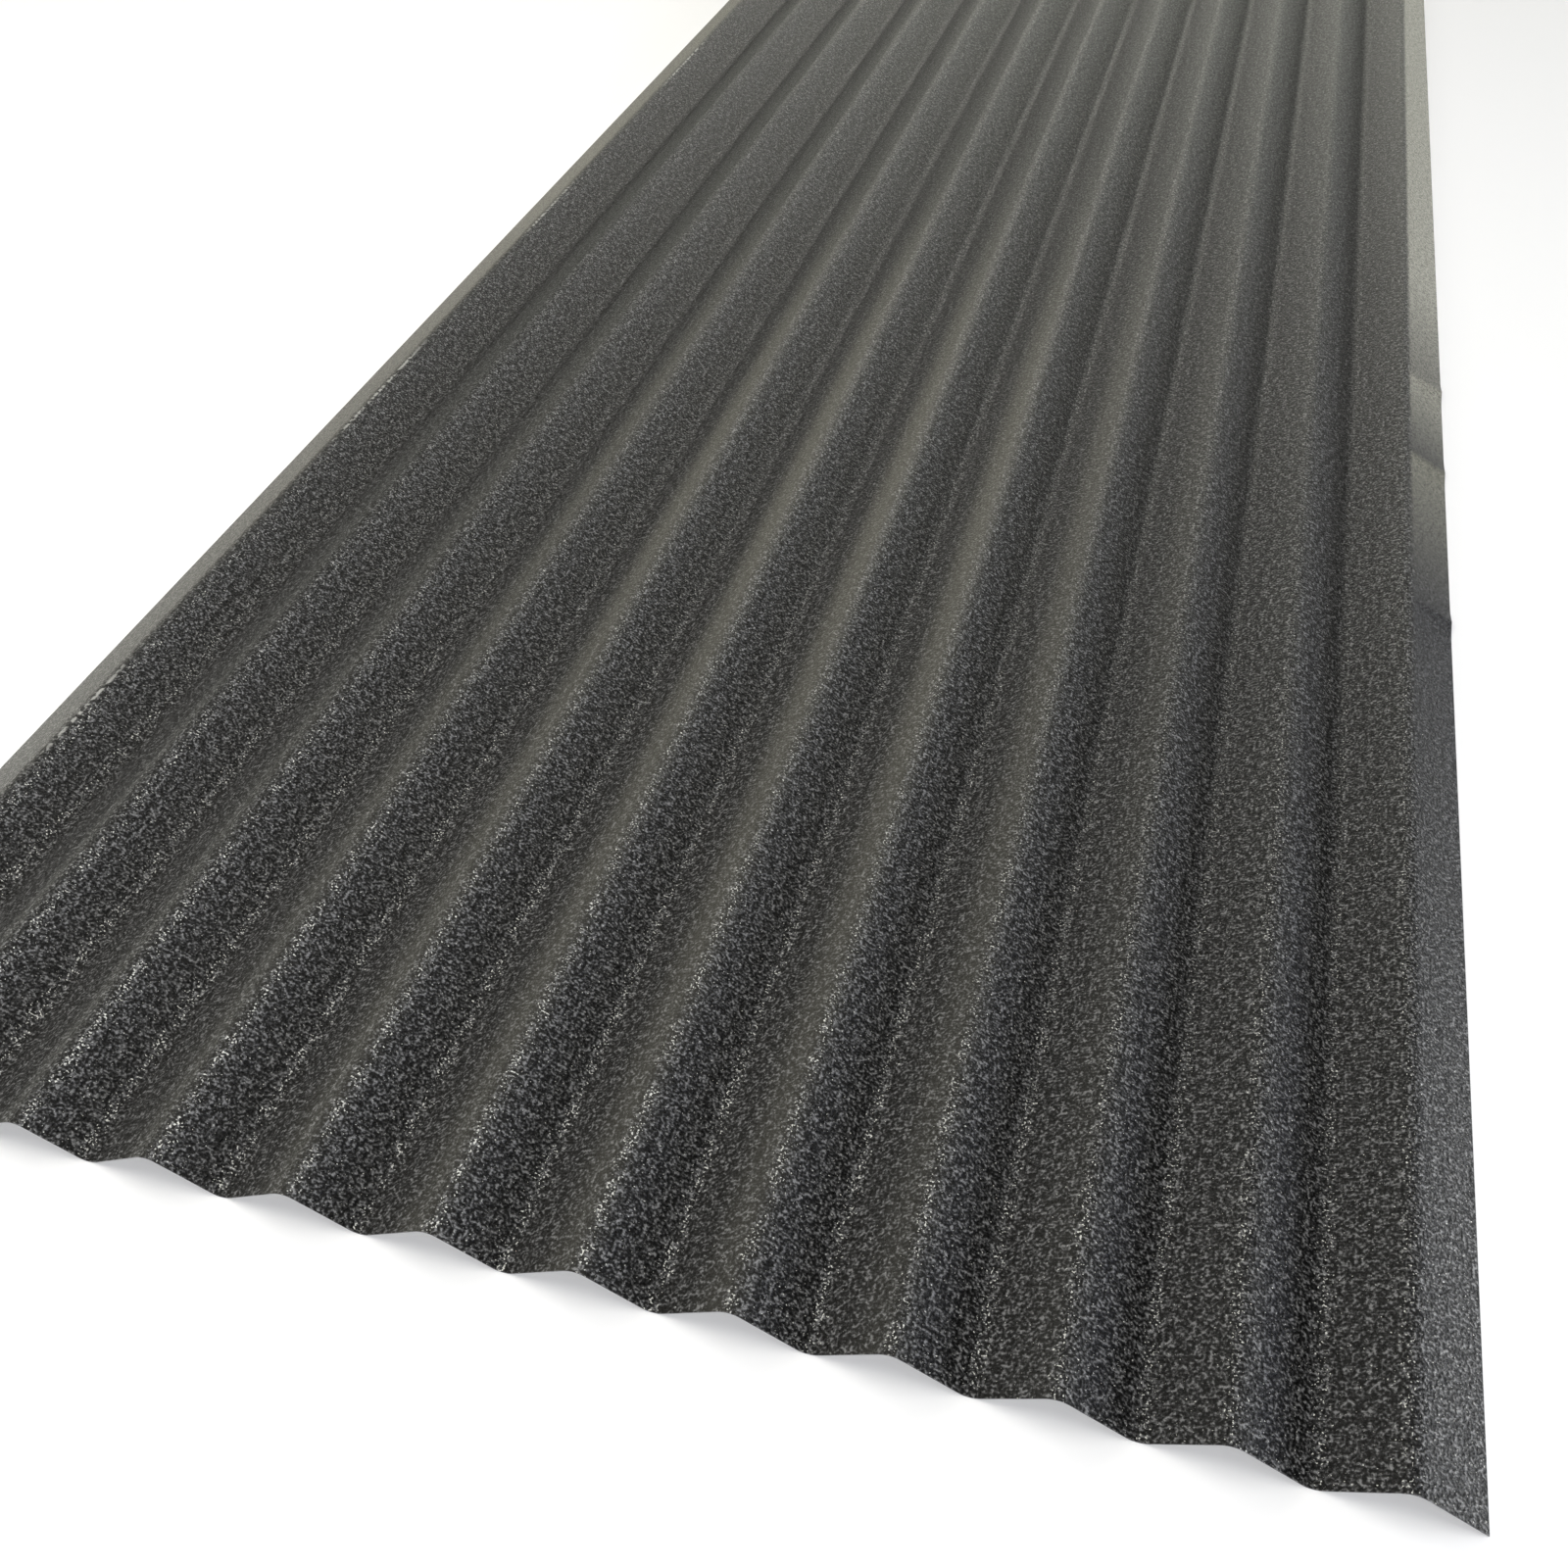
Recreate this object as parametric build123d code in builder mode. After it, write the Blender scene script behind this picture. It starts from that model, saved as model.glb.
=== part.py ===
from build123d import *
import os
from math import atan, cos, sqrt, tan

os.makedirs("parts", exist_ok=True)

# Corrugated sheet of thin coated steel, lying on the bottoms of its waves.
# X runs across the waves, Y along them, Z up; the origin is under the middle of the sheet, on the floor.
# Sizes in millimetres.

pitch = 76.0            # from one crest to the next
wave_count = 12         # crests across the sheet; both side edges end low, in a half wave
wave_depth = 19.0       # over the metal, from the floor to the top of a crest
gauge = 0.5             # thickness of the coated steel
bend_radius = 11.0      # of every crest and valley, to the middle of the metal
sheet_length = 3000.0   # along the waves

# The wave is a zigzag of straight slopes with its corners bent round.
# The slope follows from the depth that must be left once each corner has lost its tip.
half_pitch = pitch / 2
half_width = wave_count * half_pitch
line_depth = wave_depth - gauge
slope_run = half_pitch + sqrt(half_pitch**2 - (4 * bend_radius - line_depth) * line_depth)
slope_angle = 2 * atan(line_depth / slope_run)
lost_tip = bend_radius * (1 / cos(slope_angle) - 1)

# Corners of the zigzag on the middle of the metal, from the left edge to the right edge.
# The two edges stop where their slope comes down to the level of the valleys.
valley_level = gauge / 2 - lost_tip
crest_level = wave_depth - gauge / 2 + lost_tip
edge_x = half_width - lost_tip / tan(slope_angle)
levels = [valley_level, crest_level]
corners = [(step * half_pitch - half_width, levels[step % 2]) for step in range(1, 2 * wave_count)]
zigzag = [(-edge_x, gauge / 2), *corners, (edge_x, gauge / 2)]

# One rolled strip of steel: the gauge laid along the middle line, drawn out over the whole length.
with BuildPart() as corrugated_sheet:
    with BuildSketch(Plane.XZ) as section:
        with BuildLine() as middle_line:
            FilletPolyline(*zigzag, radius=bend_radius)
        trace(line_width=gauge)
    extrude(amount=sheet_length / 2, both=True)

corrugated_sheet.part.label = "corrugated_sheet"
export_step(corrugated_sheet.part, "parts/corrugated_sheet.step")
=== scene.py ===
from math import atan, cos, pi, radians, sin, sqrt, tan

import bmesh
import bpy
from mathutils import Matrix, Vector


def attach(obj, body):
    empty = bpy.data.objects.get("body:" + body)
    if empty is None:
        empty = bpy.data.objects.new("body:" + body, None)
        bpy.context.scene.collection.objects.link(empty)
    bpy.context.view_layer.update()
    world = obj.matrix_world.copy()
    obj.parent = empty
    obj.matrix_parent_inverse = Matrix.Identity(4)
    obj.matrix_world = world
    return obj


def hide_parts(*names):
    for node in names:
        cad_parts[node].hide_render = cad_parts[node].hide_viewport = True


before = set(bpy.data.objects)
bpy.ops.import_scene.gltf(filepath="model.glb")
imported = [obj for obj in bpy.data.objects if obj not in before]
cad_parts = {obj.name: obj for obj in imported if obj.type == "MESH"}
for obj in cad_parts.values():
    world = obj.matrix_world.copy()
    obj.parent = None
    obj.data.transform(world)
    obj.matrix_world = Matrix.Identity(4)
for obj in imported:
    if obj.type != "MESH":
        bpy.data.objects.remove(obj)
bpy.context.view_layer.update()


# The sheet: one strip of 0.5 mm galvanised steel, coated in textured charcoal on its upper face
# before the rolls press twelve waves into it, then cut square to length. It lies on its valleys,
# and handling has knocked three low creases into its right edge.

pitch, wave_count, wave_depth = 0.076, 12, 0.019
gauge, bend_radius, sheet_length = 0.0005, 0.011, 3.0

half_pitch = pitch / 2
half_width = wave_count * half_pitch
line_depth = wave_depth - gauge
slope_run = half_pitch + sqrt(half_pitch**2 - (4 * bend_radius - line_depth) * line_depth)
slope_angle = 2 * atan(line_depth / slope_run)
lost_tip = bend_radius * (1 / cos(slope_angle) - 1)
edge_x = half_width - lost_tip / tan(slope_angle)
near_end = -sheet_length / 2

# The rolls turn the strip one bend at a time, from the left edge to the right. The line drawn here
# is its upper face, so a crest bends round half a gauge wider than the middle of the metal.
bend_steps = 7
edge_side = gauge / 2 * sin(slope_angle)
edge_top = gauge / 2 * (1 + cos(slope_angle))
rolled = bmesh.new()
strip_end = rolled.verts.new((-edge_x - edge_side, near_end, edge_top))
for bend in range(2 * wave_count - 1):
    up = 1 if bend % 2 == 0 else -1
    centre = Vector(((bend + 1) * half_pitch - half_width, near_end,
                     wave_depth / 2 + up * (line_depth / 2 - bend_radius)))
    face_radius = bend_radius + up * gauge / 2
    strip_end = bmesh.ops.extrude_vert_indiv(rolled, verts=[strip_end])["verts"][0]
    strip_end.co = centre + face_radius * Vector((-sin(slope_angle), 0, up * cos(slope_angle)))
    turned = bmesh.ops.spin(rolled, geom=[strip_end], cent=centre, axis=(0, 1, 0),
                            angle=up * 2 * slope_angle, steps=bend_steps)
    strip_end = [part for part in turned["geom_last"] if isinstance(part, bmesh.types.BMVert)][0]
strip_end = bmesh.ops.extrude_vert_indiv(rolled, verts=[strip_end])["verts"][0]
strip_end.co = (edge_x + edge_side, near_end, edge_top)

drawn = bmesh.ops.extrude_edge_only(rolled, edges=rolled.edges[:])["geom"]
bmesh.ops.translate(rolled, verts=[part for part in drawn if isinstance(part, bmesh.types.BMVert)],
                    vec=(0, sheet_length, 0))
rolled.normal_update()
if sum(face.normal.z for face in rolled.faces) < 0:
    bmesh.ops.reverse_faces(rolled, faces=rolled.faces[:])

# Rows across the strip, closer together where the right edge is knocked. A knock has its place along
# the sheet, its lift at the edge, its reach to each side, and the painted light and shade of the edge
# before and beyond it.
knocks = [(-0.84, 0.0036, 0.018, "#1a1b20", "#16171a"), (-0.634, 0.0030, 0.020, "#727166", "#3c3c39"),
          (-0.50, 0.0038, 0.020, "#8c8b80", "#65645d")]
row_spacing = 0.1
rows = {round(near_end + row_spacing * step, 4) for step in range(1, round(sheet_length / row_spacing))}
for spot, lift, reach, before, beyond in knocks:
    rows |= {round(spot + reach * step / 4, 4) for step in range(-4, 5)}
for row in sorted(rows):
    bmesh.ops.bisect_plane(rolled, geom=rolled.verts[:] + rolled.edges[:] + rolled.faces[:], dist=1e-6,
                           plane_co=(0, row, 0), plane_no=(0, 1, 0))

# Each knock bends the edge slope up in a low crease, highest at the edge itself.
last_crest = half_width - half_pitch
crease_start, crease_sharpness = 0.16, 1.5
for vert in rolled.verts:
    share = (vert.co.x - last_crest) / (edge_x - last_crest)
    if share > crease_start:
        for spot, lift, reach, before, beyond in knocks:
            nearness = max(0.0, 1 - abs(vert.co.y - spot) / reach)
            vert.co.z += lift * (share - crease_start) * nearness**crease_sharpness

bmesh.ops.solidify(rolled, geom=rolled.faces[:], thickness=gauge)
rolled.normal_update()

# A face that looks along the sheet or out to a side is a cut edge, of sheared steel. Of the others,
# those that look up have the coat and those that look down the backing.
end_facing, side_facing, sharp_angle = 0.7, 0.75, radians(35)
for face in rolled.faces:
    cut = abs(face.normal.y) > end_facing or abs(face.normal.x) > side_facing
    face.smooth = not cut
    face.material_index = 2 if cut else (0 if face.normal.z > 0 else 1)
for edge in rolled.edges:
    edge.smooth = edge.calc_face_angle(0) < sharp_angle

sheet_mesh = bpy.data.meshes.new("corrugated_sheet_rolled")
rolled.to_mesh(sheet_mesh)
rolled.free()
sheet = bpy.data.objects.new("corrugated_sheet_rolled", sheet_mesh)
bpy.context.scene.collection.objects.link(sheet)


def linear(hex_colour):
    """An sRGB hex colour as the linear colour that a shader takes."""
    parts = [int(hex_colour[place:place + 2], 16) / 255 for place in (1, 3, 5)]
    return tuple(c / 12.92 if c <= 0.04045 else ((c + 0.055) / 1.055) ** 2.4 for c in parts) + (1.0,)


def add_node(tree, kind, settings=(), **inputs):
    """Adds a node with its settings, and fills or links its inputs; _0 is the first socket."""
    node = tree.nodes.new(kind)
    for name, value in dict(settings).items():
        setattr(node, name, value)
    for name, value in inputs.items():
        key = int(name[1:]) if name[0] == "_" else name.replace("_", " ")
        if isinstance(value, bpy.types.NodeSocket):
            tree.links.new(value, node.inputs[key])
        else:
            node.inputs[key].default_value = value
    return node


# Textured charcoal coat: a polyester paint, stoved on the flat strip, that dries into a hard matt
# grain. It gives the eye dark pits and lighter tops, and the smoothest tops glint.
coat = bpy.data.materials.new("textured_charcoal_coat")
coat.use_nodes = True
tree = coat.node_tree
tree.nodes.clear()
place = add_node(tree, "ShaderNodeTexCoord").outputs["Object"]
across, along = add_node(tree, "ShaderNodeSeparateXYZ", Vector=place).outputs[0:2]
flat = {"noise_dimensions": "2D"}
eased = {"interpolation_type": "SMOOTHSTEP"}

# The grain of such a coat is about 1 mm wide; noise cells half as wide again draw it, and the clumps
# that the grains gather in keep it in sight further away.
grain_width, clump_width, top_width, patch_width = 0.0016, 0.0042, 0.0013, 0.011
clump_share = 0.32
grain = add_node(tree, "ShaderNodeTexNoise", flat, Vector=place, Scale=1 / grain_width,
                 Detail=2.0).outputs[0]
clumps, tops, patches = [
    add_node(tree, "ShaderNodeTexNoise", flat, Vector=place, Scale=1 / width, Detail=1.0).outputs[0]
    for width in (clump_width, top_width, patch_width)]
mottle = add_node(tree, "ShaderNodeMix", _0=clump_share, _2=grain, _3=clumps).outputs[0]
grain_colours = add_node(tree, "ShaderNodeValToRGB", Fac=mottle)
stops = grain_colours.color_ramp.elements
stops[0].position, stops[0].color = 0.41, linear("#010101")
stops[1].position, stops[1].color = 0.67, linear("#7a7a7a")
for position, shade in ((0.5, "#202020"), (0.58, "#4c4c4c")):
    stops.new(position).color = linear(shade)
colour = grain_colours.outputs["Color"]

# Painted glints lie in lines along the bends, and the lines drift a little from one side of the sheet
# to the other. Dust lies from each of them over the slopes that face left, where it fills the grain.
glint_from_middle, glint_drift, glint_reach, glint_waver = 0.0175, 0.010, 0.0050, 0.009
dust_and_light_start, dust_and_light_full = -0.003, 0.009
faint_side, full_side, faint_share, side_light_share = 0.38, 0.02, 0.35, 0.14
from_first = add_node(tree, "ShaderNodeMath", _0=across, _1=half_width - 1.5 * half_pitch).outputs[0]
from_middle = add_node(tree, "ShaderNodeMath", {"operation": "PINGPONG"}, _0=from_first,
                       _1=half_pitch).outputs[0]
glint_line = add_node(tree, "ShaderNodeMath", {"operation": "MULTIPLY_ADD"}, _0=across, _1=glint_drift,
                    _2=glint_from_middle - glint_waver / 2).outputs[0]
glint_line = add_node(tree, "ShaderNodeMath", {"operation": "MULTIPLY_ADD"}, _0=clumps, _1=glint_waver,
                    _2=glint_line).outputs[0]
past_glint_line = add_node(tree, "ShaderNodeMath", {"operation": "SUBTRACT"}, _0=from_middle,
                    _1=glint_line).outputs[0]
dust_and_light_across = add_node(tree, "ShaderNodeMapRange", eased, Value=across, From_Min=faint_side,
                      From_Max=full_side, To_Min=faint_share).outputs[0]
dust_and_side_light = add_node(tree, "ShaderNodeMapRange", eased, Value=past_glint_line, From_Min=dust_and_light_start,
                 From_Max=dust_and_light_full, To_Max=dust_and_light_across).outputs[0]
# Partly dust, partly painted light: the slopes that face left are mixed towards an even grey, so they
# read lighter and less grainy, as the light from the left would leave them.
side_light_fill = add_node(tree, "ShaderNodeMath", {"operation": "MULTIPLY"}, _0=dust_and_side_light, _1=side_light_share).outputs[0]
colour = add_node(tree, "ShaderNodeMix", {"data_type": "RGBA"}, _0=side_light_fill, _6=colour,
                  _7=linear("#36342f")).outputs[2]

# A painted highlight: a pale band on the upper left side of every crest, strongest in the middle of the
# sheet.
highlight_middle, highlight_reach, highlight_core = -0.007, 0.018, 0.002
highlight_peak, highlight_fade, highlight_end = -0.85, -0.75, 0.0
highlight_outside, highlight_inside = 0.34, 0.06
from_highlight = add_node(tree, "ShaderNodeMath", _0=across, _1=last_crest - highlight_middle).outputs[0]
from_highlight = add_node(tree, "ShaderNodeMath", {"operation": "PINGPONG"}, _0=from_highlight,
                     _1=half_pitch).outputs[0]
highlight_near = add_node(tree, "ShaderNodeMapRange", Value=along, From_Min=near_end, From_Max=highlight_peak,
                     To_Min=0.07, To_Max=0.25).outputs[0]
highlight_along = add_node(tree, "ShaderNodeMapRange", eased, Value=along, From_Min=highlight_end,
                      From_Max=highlight_fade, To_Max=highlight_near).outputs[0]
from_centre = add_node(tree, "ShaderNodeMath", {"operation": "ABSOLUTE"}, _0=across).outputs[0]
highlight_side = add_node(tree, "ShaderNodeMapRange", eased, Value=from_centre, From_Min=highlight_outside,
                     From_Max=highlight_inside).outputs[0]
painted_crest_highlight = add_node(tree, "ShaderNodeMapRange", eased, Value=from_highlight, From_Min=highlight_reach,
                From_Max=highlight_core, To_Max=highlight_along).outputs[0]
painted_crest_highlight = add_node(tree, "ShaderNodeMath", {"operation": "MULTIPLY"}, _0=painted_crest_highlight, _1=highlight_side).outputs[0]
colour = add_node(tree, "ShaderNodeMix", {"data_type": "RGBA"}, _0=painted_crest_highlight, _6=colour,
                  _7=linear("#8b887c")).outputs[2]

# Painted glints: pale specks in broken lines along the bends, painted where grain tops would catch
# the light, most of them at the near end and fewest towards the right. Dust hides some of them.
few_specks_at, most_specks_at = -0.80, -1.42
right_specks_from, left_specks_from = 0.40, 0.10
most_glints = add_node(tree, "ShaderNodeMapRange", Value=across, From_Min=right_specks_from,
                    From_Max=left_specks_from, To_Min=0.13, To_Max=0.21).outputs[0]
near_glints = add_node(tree, "ShaderNodeMapRange", Value=along, From_Min=few_specks_at,
                    From_Max=most_specks_at, To_Min=0.05, To_Max=most_glints).outputs[0]
glint_density = add_node(tree, "ShaderNodeMapRange", Value=patches, From_Min=0.28, From_Max=0.62,
                  To_Min=0.04, To_Max=near_glints).outputs[0]
from_glint_line = add_node(tree, "ShaderNodeMath", {"operation": "ABSOLUTE"}, _0=past_glint_line).outputs[0]
glint_density = add_node(tree, "ShaderNodeMapRange", Value=from_glint_line, From_Min=glint_reach, From_Max=0.0,
                  To_Max=glint_density).outputs[0]
bare_tops = add_node(tree, "ShaderNodeMath", {"operation": "MULTIPLY_ADD"}, _0=dust_and_side_light, _1=-0.05,
                     _2=tops).outputs[0]
painted_glints = add_node(tree, "ShaderNodeMath", _0=bare_tops, _1=glint_density).outputs[0]
painted_glints = add_node(tree, "ShaderNodeMapRange", Value=painted_glints, From_Min=0.74, From_Max=0.84).outputs[0]
colour = add_node(tree, "ShaderNodeMix", {"data_type": "RGBA"}, _0=painted_glints, _6=colour,
                  _7=linear("#d0d0ca")).outputs[2]

# Painted reflection: the low left edge is painted paler towards the far end; the grain shows through.
edge_grain = add_node(tree, "ShaderNodeMapRange", Value=mottle, From_Min=0.36, From_Max=0.58,
                      To_Min=0.30).outputs[0]
edge_start, left_turn, right_turn = 0.002, 0.006, 0.007
left_sheen_faint_at, left_sheen_full_at = -1.3, -0.35
left_sheen_along = add_node(tree, "ShaderNodeMapRange", Value=along, From_Min=left_sheen_faint_at,
                      From_Max=left_sheen_full_at, To_Min=0.2, To_Max=0.95).outputs[0]
painted_left_sheen = add_node(tree, "ShaderNodeMapRange", eased, Value=across, From_Min=edge_start - last_crest,
                     From_Max=-last_crest - left_turn, To_Max=left_sheen_along).outputs[0]
painted_left_sheen = add_node(tree, "ShaderNodeMath", {"operation": "MULTIPLY"}, _0=painted_left_sheen,
                     _1=edge_grain).outputs[0]
colour = add_node(tree, "ShaderNodeMix", {"data_type": "RGBA"}, _0=painted_left_sheen, _6=colour,
                  _7=linear("#706d64")).outputs[2]

# The right edge is painted with light and shade round the knocks, and palest beyond the last one, a
# painted reflection. Its shades are laid along the sheet from one metre before the middle.
shades_from, palest_at = -1.0, -0.3
right_light_faint_at, right_light_full_at = -1.35, -0.65
ramp_place = add_node(tree, "ShaderNodeMath", _0=along, _1=-shades_from).outputs[0]
right_edge_painted_light = add_node(tree, "ShaderNodeValToRGB", Fac=ramp_place)
stops = right_edge_painted_light.color_ramp.elements
stops[0].color = linear("#08090d")
stops[1].position, stops[1].color = palest_at - shades_from, linear("#98978c")
for spot, lift, reach, before, beyond in knocks:
    stops.new(spot - shades_from - reach / 4).color = linear(before)
    stops.new(spot - shades_from + reach / 4).color = linear(beyond)
right_light_along = add_node(tree, "ShaderNodeMapRange", Value=along, From_Min=right_light_faint_at,
                      From_Max=right_light_full_at, To_Max=0.95).outputs[0]
right_edge_light_mask = add_node(tree, "ShaderNodeMapRange", eased, Value=across, From_Min=last_crest + edge_start,
                      From_Max=last_crest + right_turn, To_Max=right_light_along).outputs[0]
right_edge_light_mask = add_node(tree, "ShaderNodeMath", {"operation": "MULTIPLY"}, _0=right_edge_light_mask,
                      _1=edge_grain).outputs[0]
colour = add_node(tree, "ShaderNodeMix", {"data_type": "RGBA"}, _0=right_edge_light_mask, _6=colour,
                  _7=right_edge_painted_light.outputs["Color"]).outputs[2]

# Scuffs: the first crest is rubbed pale in four stretches, where the sheet was dragged on that side.
scuff_width, scuff_fade = 0.0016, 0.04
scuffs = [(-1.27, -1.145), (-0.873, -0.683), (-0.469, -0.312), (-0.042, 0.131)]
from_crest = add_node(tree, "ShaderNodeMath", _0=across, _1=last_crest).outputs[0]
from_crest = add_node(tree, "ShaderNodeMath", {"operation": "ABSOLUTE"}, _0=from_crest).outputs[0]
scuffed = 0.0
for begin, end in scuffs:
    half_stretch = (end - begin) / 2
    from_stretch = add_node(tree, "ShaderNodeMath", {"operation": "SUBTRACT"}, _0=along,
                            _1=(begin + end) / 2).outputs[0]
    from_stretch = add_node(tree, "ShaderNodeMath", {"operation": "ABSOLUTE"},
                            _0=from_stretch).outputs[0]
    stretch = add_node(tree, "ShaderNodeMapRange", Value=from_stretch, From_Min=half_stretch,
                       From_Max=half_stretch - scuff_fade).outputs[0]
    scuffed = add_node(tree, "ShaderNodeMath", {"operation": "MAXIMUM"}, _0=stretch,
                       _1=scuffed).outputs[0]
line = add_node(tree, "ShaderNodeMapRange", Value=from_crest, From_Min=scuff_width,
                From_Max=scuff_width / 2, To_Max=scuffed).outputs[0]
scuffed = add_node(tree, "ShaderNodeMapRange", Value=clumps, From_Min=0.40, From_Max=0.55,
                   To_Max=line).outputs[0]
colour = add_node(tree, "ShaderNodeMix", {"data_type": "RGBA"}, _0=scuffed, _6=colour,
                  _7=linear("#a0a09c")).outputs[2]

# The grain stands up as relief, a little filled where dust lies, and its smoothest tops shine.
grain_height = 0.00098
shine = add_node(tree, "ShaderNodeMapRange", Value=bare_tops, From_Min=0.56, From_Max=0.66,
                 To_Min=0.46, To_Max=0.20).outputs[0]
relief = add_node(tree, "ShaderNodeMapRange", Value=dust_and_side_light, To_Min=1.0, To_Max=0.95).outputs[0]
bump = add_node(tree, "ShaderNodeBump", Height=grain, Strength=relief, Distance=grain_height)
surface = add_node(tree, "ShaderNodeBsdfPrincipled", Base_Color=colour, Roughness=shine, IOR=1.27,
                   Normal=bump.outputs["Normal"])
add_node(tree, "ShaderNodeOutputMaterial", Surface=surface.outputs["BSDF"])

# Backing coat: a thin smooth grey primer, rolled on the underside. It gives the eye a plain grey with
# faint clouds where it was rolled thinner.
cloud_width = 0.08
backing = bpy.data.materials.new("grey_backing_coat")
backing.use_nodes = True
tree = backing.node_tree
tree.nodes.clear()
place = add_node(tree, "ShaderNodeTexCoord").outputs["Object"]
clouds = add_node(tree, "ShaderNodeTexNoise", Vector=place, Scale=1 / cloud_width,
                  Detail=3.0).outputs["Fac"]
tone = add_node(tree, "ShaderNodeValToRGB", Fac=clouds)
tone.color_ramp.elements[0].color = linear("#6e6f6d")
tone.color_ramp.elements[1].color = linear("#7c7d7a")
surface = add_node(tree, "ShaderNodeBsdfPrincipled", Base_Color=tone.outputs["Color"], Roughness=0.5)
add_node(tree, "ShaderNodeOutputMaterial", Surface=surface.outputs["BSDF"])

# Sheared steel: the bare cut edge. The blade drags the zinc of both faces across it, which gives the
# eye light and dark streaks.
streak_width = 0.004
cut_steel = bpy.data.materials.new("sheared_steel_edge")
cut_steel.use_nodes = True
tree = cut_steel.node_tree
tree.nodes.clear()
place = add_node(tree, "ShaderNodeTexCoord").outputs["Object"]
streaks = add_node(tree, "ShaderNodeTexNoise", Vector=place, Scale=1 / streak_width,
                   Detail=2.0).outputs["Fac"]
tone = add_node(tree, "ShaderNodeValToRGB", Fac=streaks)
tone.color_ramp.elements[0].color = linear("#5c5c5e")
tone.color_ramp.elements[1].color = linear("#a2a2a4")
surface = add_node(tree, "ShaderNodeBsdfPrincipled", Base_Color=tone.outputs["Color"], Metallic=1.0,
                   Roughness=0.45)
add_node(tree, "ShaderNodeOutputMaterial", Surface=surface.outputs["BSDF"])

for finish in (coat, backing, cut_steel):
    sheet_mesh.materials.append(finish)
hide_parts("corrugated_sheet")
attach(sheet, "root")


# The floor: a plain studio floor, painted pale and matt, and wide enough to fill the view. It gives
# the eye only a soft shadow under the waves.
floor_half_width = 12.0
floor_plan = bmesh.new()
bmesh.ops.create_grid(floor_plan, x_segments=1, y_segments=1, size=floor_half_width)
floor_mesh = bpy.data.meshes.new("studio_floor")
floor_plan.to_mesh(floor_mesh)
floor_plan.free()
floor = bpy.data.objects.new("studio_floor", floor_mesh)
bpy.context.scene.collection.objects.link(floor)
paint = bpy.data.materials.new("pale_floor_paint")
paint.use_nodes = True
tree = paint.node_tree
tree.nodes.clear()
surface = add_node(tree, "ShaderNodeBsdfDiffuse", Color=linear("#fafafa"))
add_node(tree, "ShaderNodeOutputMaterial", Surface=surface.outputs["BSDF"])
floor_mesh.materials.append(paint)


# Studio light: soft panels of cloth stand low and higher up on the left, at the back and on the right,
# so that every slope catches one. A tube above the left side lights the slopes that face it, a strip at
# the back draws a thin line along the crests, and a ceiling panel and a front fill light the floor.
room = bpy.data.worlds.new("dim_room")
bpy.context.scene.world = room
room.use_nodes = True
room.node_tree.nodes["Background"].inputs["Color"].default_value = linear("#ffffff")
room.node_tree.nodes["Background"].inputs["Strength"].default_value = 0.04

# Each has its place, the spot it faces, its width and height, its radiance and its tint.
softboxes = [
    ("left_horizon", (-3.6, -0.9, 0.17), (0.0, -0.9, 0.02), (3.4, 0.3), 14.6, "#fffff2"),
    ("left_panel", (-3.2, -0.9, 1.45), (0.0, -0.9, 0.0), (3.2, 0.9), 4.02, "#fffef8"),
    ("back_left_low", (-2.6, 1.8, 0.62), (0.0, -0.8, 0.0), (2.9, 0.6), 1.5, "#faffec"),
    ("back_horizon", (0.0, 4.0, 0.17), (0.0, -0.5, 0.02), (4.2, 0.3), 3.57, "#feffee"),
    ("back_panel", (0.0, 3.7, 1.5), (0.0, -0.5, 0.0), (3.8, 1.1), 2.02, "#fefff2"),
    ("back_right_low", (2.6, 1.8, 0.62), (0.0, -0.8, 0.0), (2.9, 0.6), 1.68, "#fffdf8"),
    ("right_horizon", (3.6, -0.9, 0.17), (0.0, -0.9, 0.02), (3.4, 0.3), 27.9, "#fefff7"),
    ("right_low", (3.5, -0.9, 0.62), (0.0, -0.9, 0.0), (3.4, 0.6), 10.9, "#e6ecff"),
    ("tube", (-0.9, -0.6, 1.3), (0.0, -0.6, 0.0), (2.0, 0.04), 34, "#fffaf1"),
    ("back_strip", (-0.45, 3.4, 1.75), (-0.2, -0.4, 0.0), (0.35, 1.2), 16, "#fffaf1"),
    ("ceiling", (0.0, -0.8, 3.4), (0.0, -0.8, 0.0), (3.0, 3.0), 1.6, "#fffffb"),
    ("front_fill", (0.6, -4.4, 2.2), (0.0, -1.0, 0.0), (3.6, 2.4), 4.62, "#fcfcff"),
]
for name, at, aim, size, radiance, tint in softboxes:
    lamp = bpy.data.lights.new(name, "AREA")
    lamp.shape, lamp.size, lamp.size_y = "RECTANGLE", size[0], size[1]
    lamp.energy = radiance * size[0] * size[1] * pi
    lamp.color = linear(tint)[:3]
    holder = bpy.data.objects.new(name, lamp)
    holder.location = at
    holder.rotation_mode = "QUATERNION"
    holder.rotation_quaternion = (Vector(aim) - Vector(at)).to_track_quat("-Z", "Y")
    holder.visible_camera = False
    bpy.context.scene.collection.objects.link(holder)


# The camera: it stands in front of the near end, right of the middle and at table height, and looks
# down along the waves and a little to the left.
camera_at = (0.23415, -1.84271, 0.69439)
turn, dip, roll = radians(-15.491), radians(43.267), radians(-0.322)
ahead = Vector((sin(turn) * cos(dip), cos(turn) * cos(dip), -sin(dip)))
level = Vector((cos(turn), -sin(turn), 0))
down = ahead.cross(level)
right_axis = cos(roll) * level + sin(roll) * down
down_axis = -sin(roll) * level + cos(roll) * down
lens = bpy.data.cameras.new("photo_view")
lens.sensor_width, lens.lens = 36.0, 36.28
camera = bpy.data.objects.new("photo_view", lens)
facing = Matrix((right_axis, -down_axis, -ahead)).transposed().to_4x4()
camera.matrix_world = Matrix.Translation(camera_at) @ facing
bpy.context.scene.collection.objects.link(camera)
bpy.context.scene.camera = camera
bpy.context.scene.view_settings.view_transform = "Standard"
